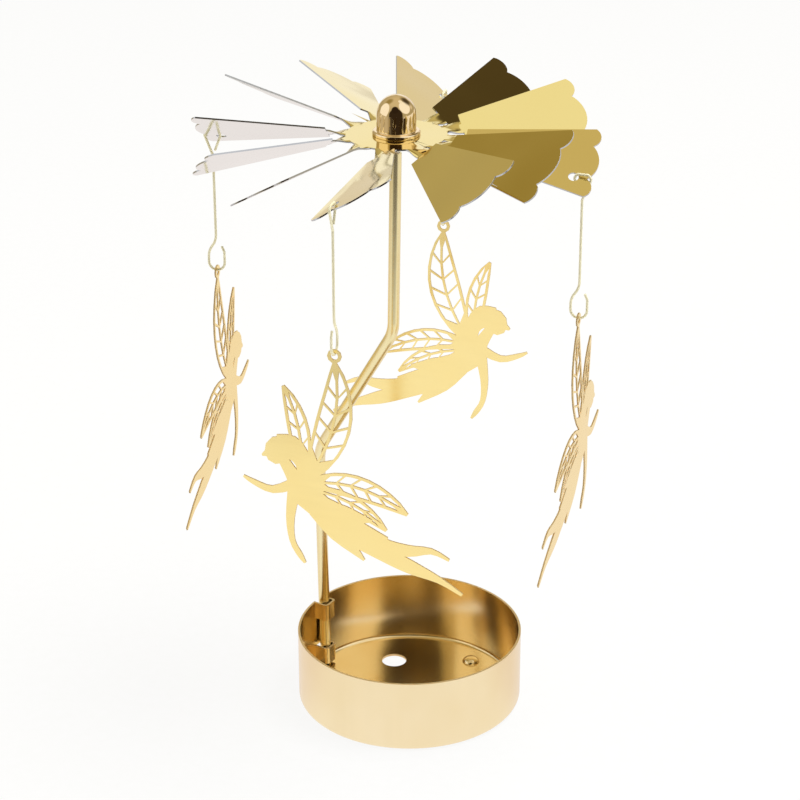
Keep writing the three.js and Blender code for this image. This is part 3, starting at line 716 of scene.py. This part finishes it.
# Tube is pulled through a die, which leaves fine lines along it and a soft gold shine.
post_gold = worked_metal(
    "drawn gold plated tube", pale="#FAEDBE", deep="#F3E1AA", roughness=0.22,
    streak_mm=(0.6, 0.6, 30), cloud_mm=8, wave_mm=6, wave_depth_mm=0.012,
)


def post_at(height):
    """The middle of the post's lower run at a height."""
    return around(POST_DISTANCE + (height - TRAY_HEIGHT / 2) * POST_LEAN, SOCKET_AZIMUTH, height)


upper_run = (NEEDLE_TIP - UPPER_BEND).normalized()
post_top = UPPER_BEND + upper_run * (POST_TOP_HEIGHT - UPPER_BEND.z) / upper_run.z
post_route = [post_at(POST_FOOT), post_at(LOWER_BEND), UPPER_BEND, post_top]
bm = bmesh.new()
bore = ring(bm, (0, 0, 0), POST_BORE_RADIUS, POST_STEPS)
skin = ring(bm, (0, 0, 0), POST_RADIUS, POST_STEPS)
mouth = bmesh.ops.bridge_loops(bm, edges=bore + skin)["faces"]
bend_rod(bm, mouth, post_route, POST_BEND_RADII, POST_BEND_STEPS)
post = finish_piece(bm, "post_bent_tube", [post_gold], "post_tube")
soften(post, POST_EDGE)

# %% Lathe


def lathe(bm, corners, steps):
    """A profile turned right round +Z."""
    wire = draw_profile(bm, corners)
    bmesh.ops.spin(
        bm, geom=wire, cent=(0, 0, 0), axis=UP, angle=2 * math.pi, steps=steps, use_merge=True,
    )
    bmesh.ops.remove_doubles(bm, verts=bm.verts, dist=WELD)
    bmesh.ops.recalc_face_normals(bm, faces=bm.faces)


print("lathe ready")

# %% Needle
NEEDLE_RADIUS = 0.75
NEEDLE_DEPTH = 9
NEEDLE_POINT = 3.2
NEEDLE_TIP_RADIUS = 0.12
NEEDLE_TIP_ROUNDING = 0.08
NEEDLE_FOOT_ROUNDING = 0.2
NEEDLE_STEPS = 32
PRESSED_RADIUS = 0.95
SHOULDER_HEIGHT = 0.1
SHOULDER_ROUNDING = 0.1

# Grinding leaves steel grey and even, with a short, dull highlight.
needle_steel = worked_metal(
    "ground needle steel", pale="#D8D4C8", deep="#BDB7A8", roughness=0.2,
    streak_mm=(0.3, 0.3, 0.3), cloud_mm=4, wave_mm=3, wave_depth_mm=0.01,
)
needle_length = (NEEDLE_TIP - post_top).length
bm = bmesh.new()
lathe(bm, [
    (0, -NEEDLE_DEPTH, 0),
    (PRESSED_RADIUS, -NEEDLE_DEPTH, NEEDLE_FOOT_ROUNDING),
    (PRESSED_RADIUS, SHOULDER_HEIGHT, SHOULDER_ROUNDING),
    (NEEDLE_RADIUS, PRESSED_RADIUS - NEEDLE_RADIUS + SHOULDER_HEIGHT, 0),
    (NEEDLE_RADIUS, needle_length - NEEDLE_POINT, 0),
    (NEEDLE_TIP_RADIUS, needle_length, NEEDLE_TIP_ROUNDING),
    (0, needle_length, 0),
], NEEDLE_STEPS)
lean = Matrix.Translation(post_top) @ UP.rotation_difference(upper_run).to_matrix().to_4x4()
bmesh.ops.transform(bm, matrix=lean, verts=bm.verts)
finish_piece(bm, "needle_point", [needle_steel], "pivot_needle")

# %% [markdown]
# ## Wheel
# The wheel is one stamping: a round plate, twelve narrow necks, and twelve blades with scalloped ends
# that are twisted at the necks. Twelve copies of one solid blade would be quick, but real blades are
# set by hand and no two lie alike, so each blade is drawn flat, twisted and drooped by its own amount.
# The sheet is gold above and plain steel underneath, which the gauge modifier's material offset gives.

# %% Wheel finishes
# Mirror sheet shows the room almost clearly, and its slow waves bend the reflections.
wheel_gold = worked_metal(
    "rolled gold mirror sheet", pale="#F6E298", deep="#F1DA8C", roughness=0.07,
    streak_mm=(60, 1.5, 60), cloud_mm=30, wave_mm=40, wave_depth_mm=2.0,
)
# The back of the same sheet has no gold on it, so it is a neutral, slightly duller mirror.
sheet_silver = worked_metal(
    "plain bright steel sheet", pale="#F0F0EE", deep="#E5E5E3", roughness=0.1,
    streak_mm=(60, 1.5, 60), cloud_mm=30, wave_mm=40, wave_depth_mm=2.0,
)
# The blades' straight sides are sheared clean: thin grey lines that go dark or bright with the room.
sheared_steel = worked_metal(
    "sheared edge of steel sheet", pale="#C8CACE", deep="#B6B8BC", roughness=0.16,
    streak_mm=(1, 1, 1), cloud_mm=6, wave_mm=2, wave_depth_mm=0.02,
)
# The stamp rolls the scallops over, and their rounded burr catches real light as a pale line; its
# near-white colour with half the metal's shine adds a painted highlight to that line.
rolled_steel_painted_highlight = worked_metal(
    "rolled bright edge of steel sheet", pale="#FFF6EA", deep="#FCEEDC", roughness=0.4,
    streak_mm=(1, 1, 1), cloud_mm=6, wave_mm=2, wave_depth_mm=0.02, bare=0.5,
)

# %% Neck and panel
PLATE_RADIUS = 12.6
NECK_END = 17.2
NECK_ROOT_WIDTH = 5.4
NECK_END_WIDTH = 3.5
NECK_ROWS = 8
NECK_COLUMNS = 4
BLADE_SLOPE = math.tan(math.radians(12.8))
BLADE_REACH = 48.2
CUSP_SHARE = 0.49
LOBE_RISES = [1.5, 2.1, 1.5]
LOBE_STEPS = [10, 18, 10]
# A grid of this size runs as far to each side of its middle.
GRID_HALF = 0.5

neck_root = PLATE_RADIUS * math.cos(math.asin(NECK_ROOT_WIDTH / 2 / PLATE_RADIUS))
shoulder = NECK_END * BLADE_SLOPE
half_chord = BLADE_REACH * BLADE_SLOPE
cusp = half_chord * CUSP_SHARE


def draw_neck(bm):
    """Draws the narrowing neck flat along +X and hands back its points."""
    neck = bmesh.ops.create_grid(
        bm, x_segments=NECK_ROWS, y_segments=NECK_COLUMNS, size=GRID_HALF,
    )["verts"]
    for vert in neck:
        along = vert.co.x + GRID_HALF
        width = NECK_ROOT_WIDTH + (NECK_END_WIDTH - NECK_ROOT_WIDTH) * math.sqrt(along)
        vert.co = (neck_root + (NECK_END - neck_root) * along, vert.co.y * width, 0)
    return neck


def draw_sides(bm, neck):
    """Draws the panel's shoulders and straight sides, from the neck's end out to the scallops."""
    end_row = [v for v in neck if abs(v.co.x - NECK_END) < WELD]
    for sign in (-1, 1):
        inner = bm.verts.new((NECK_END, sign * shoulder, 0))
        outer = bm.verts.new((BLADE_REACH, sign * half_chord, 0))
        tip = min(end_row, key=lambda v: abs(v.co.y - sign * shoulder))
        bm.edges.new((inner, outer))
        bm.edges.new((tip, inner))


def draw_scallops(bm):
    """Spins each cusp of the outer edge round to the next one."""
    cusps = [-half_chord, -cusp, cusp, half_chord]
    for start, end, rise, steps in zip(cusps, cusps[1:], LOBE_RISES, LOBE_STEPS):
        half = (end - start) / 2
        radius = (half ** 2 + rise ** 2) / (2 * rise)
        spread = math.asin(half / radius)
        seed = bm.verts.new((BLADE_REACH, start, 0))
        centre = (BLADE_REACH + rise - radius, start + half, 0)
        bmesh.ops.spin(bm, geom=[seed], cent=centre, axis=UP, angle=2 * spread, steps=steps)


print("blade chord", round(2 * half_chord, 2), "mm")

# %% Blade
HANGER_HOLE_RADIUS = 1.3
HANGER_HOLE_STEPS = 28
HANGER_RIM = 2.0


def newer(bm, old):
    """The points that were added after the old ones."""
    return [v for v in bm.verts if v not in old]


def panel_outline(verts):
    """The edges round a panel that is still open: its own lines and the end of its neck."""
    edges = {e for v in verts for e in v.link_edges}
    lines = [e for e in edges if len(e.link_faces) == 0]
    neck_end = [
        e for e in edges
        if len(e.link_faces) == 1 and all(abs(v.co.x - NECK_END) < WELD for v in e.verts)
    ]
    return lines + neck_end


def twist_and_droop(verts, twist, droop):
    """Turns the blank about its own length, more and more along the neck, and lets it droop."""
    for vert in verts:
        reach = vert.co.x
        share = min(max((reach - PLATE_RADIUS) / (NECK_END - PLATE_RADIUS), 0), 1)
        turn = twist * share * share * (3 - 2 * share)
        across = vert.co.y
        drop = max(reach - PLATE_RADIUS, 0) * math.tan(droop)
        vert.co = (reach, across * math.cos(turn), across * math.sin(turn) - drop)


def blade(bm, rolled, has_hole, twist, droop, azimuth):
    """One neck and its panel, drawn flat, then twisted, drooped and swung to its place.

    Its scallops are marked in the rolled layer, and the points of the neck's root are handed back.
    """
    old = set(bm.verts)
    neck = draw_neck(bm)
    neck_faces = {f for v in neck for f in v.link_faces}
    draw_sides(bm, neck)
    draw_scallops(bm)
    bmesh.ops.remove_doubles(bm, verts=newer(bm, old), dist=WELD)
    outline = panel_outline(newer(bm, old))
    if has_hole:
        hole_centre = (BLADE_REACH - HANGER_RIM - HANGER_HOLE_RADIUS, -cusp, 0)
        outline += ring(bm, hole_centre, HANGER_HOLE_RADIUS, HANGER_HOLE_STEPS)
    bmesh.ops.triangle_fill(bm, use_beauty=True, edges=outline, normal=UP)
    for edge in outline:
        edge[rolled] = 1.0 if all(v.co.x > BLADE_REACH - HAIR for v in edge.verts) else 0.0
    for face in neck_faces:
        face.smooth = True
    blank = newer(bm, old)
    root_row = [v for v in blank if abs(v.co.x - neck_root) < WELD]
    twist_and_droop(blank, twist, droop)
    bmesh.ops.rotate(bm, verts=blank, cent=(0, 0, 0), matrix=Matrix.Rotation(azimuth, 3, "Z"))
    return root_row


print("hanger holes", 2 * HANGER_HOLE_RADIUS, "mm across")

# %% Twelve blades
FIRST_BLADE = 169.5
BLADE_PITCH = 30
BLADES_PER_HOLE = 3
# Degrees for each blade in turn, because every blade was set by hand.
BLADE_TWISTS = [32, 30, 29.5, 31, 34.8, 38.3, 30.1, 35.6, 33, 37, 26.5, 28.5]
BLADE_DROOPS = [1, 4.9, 4.1, 1.2, -0.4, -3.9, 6, -1.2, -2.7, 0.4, -3.5, -5.4]
BLADE_SPLAYS = [2.7, -2.1, -0.4, -1.6, 3.4, -2, -2.6, -0.6, -1, 0.5, 0.3, 1.2]

bm = bmesh.new()
rolled = bm.edges.layers.float.new("bevel_weight_edge")
roots = []
for k, (twist, droop, splay) in enumerate(zip(BLADE_TWISTS, BLADE_DROOPS, BLADE_SPLAYS)):
    azimuth = math.radians(FIRST_BLADE + BLADE_PITCH * k + splay)
    has_hole = k % BLADES_PER_HOLE == 0
    root_row = blade(bm, rolled, has_hole, math.radians(twist), math.radians(droop), azimuth)
    roots.append((azimuth, root_row))
print("blades:", len(roots))

# %% Wheel sheet
WHEEL_CENTRE = Vector((-3.2, 0, 158.2))
WHEEL_GAUGE = 0.4
STEM_HOLE_RADIUS = 2.55
STEM_HOLE_STEPS = 40
ROLLED_WIDTH = 0.2
ROLLED_SEGMENTS = 3

plate_edges = []
for (azimuth, row), (_, following) in zip(roots, roots[1:] + roots[:1]):
    across = Vector((-math.sin(azimuth), math.cos(azimuth), 0))
    row.sort(key=lambda v: v.co.dot(across))
    plate_edges += [e for e in {e for v in row for e in v.link_edges} if all(v in row for v in e.verts)]
    nearest = min(following, key=lambda v: (v.co - row[-1].co).length)
    plate_edges.append(bm.edges.new((row[-1], nearest)))
stem_hole = ring(bm, (0, 0, 0), STEM_HOLE_RADIUS, STEM_HOLE_STEPS)
bmesh.ops.triangle_fill(bm, use_beauty=True, edges=plate_edges + stem_hole, normal=UP)
bmesh.ops.recalc_face_normals(bm, faces=bm.faces)
if sum(f.normal.z * f.calc_area() for f in bm.faces) < 0:
    bmesh.ops.reverse_faces(bm, faces=bm.faces)
bmesh.ops.translate(bm, vec=WHEEL_CENTRE, verts=bm.verts)
wheel_finishes = [wheel_gold, sheet_silver, sheared_steel, rolled_steel_painted_highlight]
wheel = finish_piece(
    bm, "wheel_bladed_sheet", wheel_finishes, "rotor_wheel", smooth_angle=0,
)
thicken(wheel, WHEEL_GAUGE, back=sheet_silver, rim=sheared_steel)
lip = wheel.modifiers.new("rolled scallops", "BEVEL")
lip.width = ROLLED_WIDTH * MM
lip.segments = ROLLED_SEGMENTS
lip.limit_method = "WEIGHT"
lip.material = wheel_finishes.index(rolled_steel_painted_highlight)

# %% [markdown]
# ## Hub cap
# A turned dome with a bead round its foot, swaged through the plate. It is bored from below to a cone
# that rides on the needle. A sphere on a cylinder would leave seams, so it is one profile on the
# lathe, with the dome as one large corner rounding.

# %% Hub cap
CAP_TOP = 168.4
CAP_RADIUS = 4.9
CAP_FOOT_ROUNDING = 0.18
CAP_STEPS = 72
BEAD_RADIUS = 5.95
BEAD_HEIGHT = 1.1
BEAD_ROUNDING = 0.55
BEAD_FOOT_ROUNDING = 0.08
STEM_RADIUS = 2.5
STEM_END_ROUNDING = 0.15
CAP_BORE_RADIUS = 1.7
CAP_BORE_ROUNDING = 0.1
SEAT_HEIGHT = 165.8
SEAT_CONE = 2.2
LIP_RADIUS = 3.3
LIP_HEIGHT = 0.7
LIP_ROUNDING = 0.12
SEAT_GAP = 0.02

# Polishing on the lathe leaves a clear mirror with the finest rings round it.
cap_gold = worked_metal(
    "turned pale gold plating", pale="#FEE8C0", deep="#F8DCAE", roughness=0.05,
    streak_mm=(30, 30, 0.4), cloud_mm=6, wave_mm=8, wave_depth_mm=0.006,
)
plate_top = WHEEL_CENTRE.z + WHEEL_GAUGE / 2 + SEAT_GAP
plate_bottom = WHEEL_CENTRE.z - WHEEL_GAUGE / 2 - SEAT_GAP
bm = bmesh.new()
lathe(bm, [
    (0, SEAT_HEIGHT, 0),
    (CAP_BORE_RADIUS, SEAT_HEIGHT - SEAT_CONE, 0),
    (CAP_BORE_RADIUS, plate_bottom - LIP_HEIGHT, CAP_BORE_ROUNDING),
    (STEM_RADIUS, plate_bottom - LIP_HEIGHT, STEM_END_ROUNDING),
    (LIP_RADIUS, plate_bottom, LIP_ROUNDING),
    (STEM_RADIUS, plate_bottom, 0),
    (STEM_RADIUS, plate_top, 0),
    (BEAD_RADIUS, plate_top, BEAD_FOOT_ROUNDING),
    (BEAD_RADIUS, plate_top + BEAD_HEIGHT, BEAD_ROUNDING),
    (CAP_RADIUS, plate_top + BEAD_HEIGHT, CAP_FOOT_ROUNDING),
    (CAP_RADIUS, CAP_TOP, CAP_RADIUS - HAIR),
    (0, CAP_TOP, 0),
], CAP_STEPS)
bmesh.ops.translate(bm, vec=(WHEEL_CENTRE.x, 0, 0), verts=bm.verts)
finish_piece(bm, "cap_turned_dome", [cap_gold], "hub_cap", smooth_angle=45)

# %% [markdown]
# ## Hooks
# Each hook is one wire: an eye that rests over a blade's rim, a straight shank, and an open hook for
# the figure. Rings and straight rods could be put together, but real wire has no seams, so it runs
# through the bending machine in one go. It is bent in one plane that stands along the wheel's radius,
# so it is drawn in XZ and swung to its place.

# %% Hook shape
WIRE_RADIUS = 0.325
EYE_HALF = 2.125
EYE_TOP = 1.075
EYE_SHOULDER = 0.65
EYE_DROP = 5.4
EYE_BEND = 0.8
EYE_END = 0.55
HOOK_DROP = 36
HOOK_HALF = 2.1
HOOK_HEIGHT = 5
HOOK_NECK = 2.9
NECK_BEND = 5
HOOK_TIP = 1.5


def hook_route(tip_side):
    """The wire's corners from the eye's end to the hook's tip, and the bend at each corner between.

    The tip lies to one side or the other, so tip_side is 1 or -1.
    """
    bow_top = HOOK_HEIGHT - HOOK_DROP
    bow = HOOK_HALF * tip_side
    tip = (HOOK_HALF - 2 * WIRE_RADIUS) * tip_side
    route = [
        (-EYE_END, -EYE_DROP * (1 - EYE_END / EYE_HALF), 0),
        (-EYE_HALF, 0, EYE_BEND),
        (EYE_SHOULDER - EYE_HALF, EYE_TOP, EYE_BEND),
        (EYE_HALF - EYE_SHOULDER, EYE_TOP, EYE_BEND),
        (EYE_HALF, 0, EYE_BEND),
        (0, -EYE_DROP, EYE_BEND),
        (0, bow_top + HOOK_NECK, NECK_BEND),
        (-bow, bow_top, NECK_BEND),
        (-bow, -HOOK_DROP, HOOK_HALF),
        (bow, -HOOK_DROP, HOOK_HALF),
        (bow, bow_top, EYE_BEND),
        (tip, bow_top + HOOK_TIP, 0),
    ]
    corners = [Vector((x, 0, z)) for x, z, _ in route]
    bends = [bend for _, _, bend in route[1:-1]]
    return corners, bends


print("hook", HOOK_DROP, "mm from its eye to its bow")

# %% Hooks
HOOK_TIP_SIDES = [-1, 1, 1, 1]
WIRE_STEPS = 12
WIRE_BEND_STEPS = 8
WIRE_EDGE = 0.1
JOINTS = {joint["name"]: joint for joint in frame["joints"]}

# Thin wire is drawn, and here it is a soft pale line with only some of the metal's shine: its near-white
# colour with a quarter of the metal's shine is a painted sheen.
wire_gold_painted_sheen = worked_metal(
    "drawn gold plated wire", pale="#FFFCE2", deep="#FEF8D2", roughness=0.4,
    streak_mm=(3, 3, 10), cloud_mm=5, wave_mm=3, wave_depth_mm=0.01, bare=0.25,
)
for k, tip_side in enumerate(HOOK_TIP_SIDES, 1):
    joint = JOINTS[f"hook_{k}_swing"]
    pivot = Vector(joint["pos_m"]) / MM
    outward = Vector(joint["axis"]).cross(-UP)
    bm = bmesh.new()
    bmesh.ops.create_circle(bm, cap_ends=True, radius=WIRE_RADIUS, segments=WIRE_STEPS)
    bend_rod(bm, bm.faces[:], *hook_route(tip_side), WIRE_BEND_STEPS)
    turn = Matrix.Rotation(math.atan2(outward.y, outward.x), 4, "Z")
    bmesh.ops.transform(bm, matrix=Matrix.Translation(pivot) @ turn, verts=bm.verts)
    hook = finish_piece(bm, f"hook_wire_{k}", [wire_gold_painted_sheen], f"hanger_hook_{k}")
    soften(hook, WIRE_EDGE)

# %% [markdown]
# ## Winged figures
# The figures are flat openwork cut from thin sheet. Their outline is right in the CAD model, so its
# mesh is copied, its loose triangles are joined and flat faces are dissolved together. Where a wing
# lies over the body the copy has pinholes that no press could cut, so those are closed. The edges are
# new: a press rounds them a little, and that line of light makes thin sheet look real.

# %% Pinholes
PINHOLE = 1.5
FLAT_FACING = 0.7


def is_cut_edge(face, flat):
    """Whether a face is part of the sheet's cut edge and not of its flat sides."""
    return abs(face.normal.dot(flat)) < FLAT_FACING


def cut_edges(bm, flat):
    """The sheet's edge faces in joined loops: one round the outside and one in each opening."""
    left = [f for f in bm.faces if is_cut_edge(f, flat)]
    loops = []
    while left:
        loop = left[:1]
        for face in loop:
            for edge in face.edges:
                loop += [f for f in edge.link_faces if f in left and f not in loop]
        left = [f for f in left if f not in loop]
        loops.append(loop)
    return loops


def close_pinholes(bm, flat):
    """Fills the openings that are too small for a press to cut."""
    for loop in cut_edges(bm, flat):
        points = [v.co for f in loop for v in f.verts]
        if max((point - points[0]).length for point in points) < PINHOLE:
            bmesh.ops.delete(bm, geom=loop, context="FACES")
    bmesh.ops.holes_fill(bm, edges=[e for e in bm.edges if e.is_boundary])


print("openings under", PINHOLE, "mm are closed")

# %% Winged figures
FIGURE_COUNT = 4
FIGURE_EDGE = 0.06
FLAT_ANGLE = math.radians(1)

# Stamped sheet keeps its bright plating, and the blow leaves it a little wavy.
figure_gold = worked_metal(
    "stamped gold plated sheet", pale="#FFEAA6", deep="#FEE296", roughness=0.16,
    streak_mm=(8, 8, 1.2), cloud_mm=20, wave_mm=25, wave_depth_mm=0.4,
)
figure_finishes = [figure_gold, sheared_gold]
for k in range(1, FIGURE_COUNT + 1):
    node = f"winged_figure_{k}"
    bm = bmesh.new()
    bm.from_mesh(frame["nodes"][node].data)
    bmesh.ops.scale(bm, vec=(1 / MM, 1 / MM, 1 / MM), verts=bm.verts)
    bmesh.ops.remove_doubles(bm, verts=bm.verts, dist=COARSE_WELD)
    bmesh.ops.dissolve_limit(bm, angle_limit=FLAT_ANGLE, verts=bm.verts, edges=bm.edges)
    flat = Vector(JOINTS[f"figure_{k}_swing"]["axis"])
    close_pinholes(bm, flat)
    bmesh.ops.dissolve_limit(bm, angle_limit=FLAT_ANGLE, verts=bm.verts, edges=bm.edges)
    for face in bm.faces:
        finish = sheared_gold if is_cut_edge(face, flat) else figure_gold
        face.material_index = figure_finishes.index(finish)
    figure = finish_piece(
        bm, f"figure_sheet_{k}", figure_finishes, node, smooth_angle=40,
    )
    soften(figure, FIGURE_EDGE)
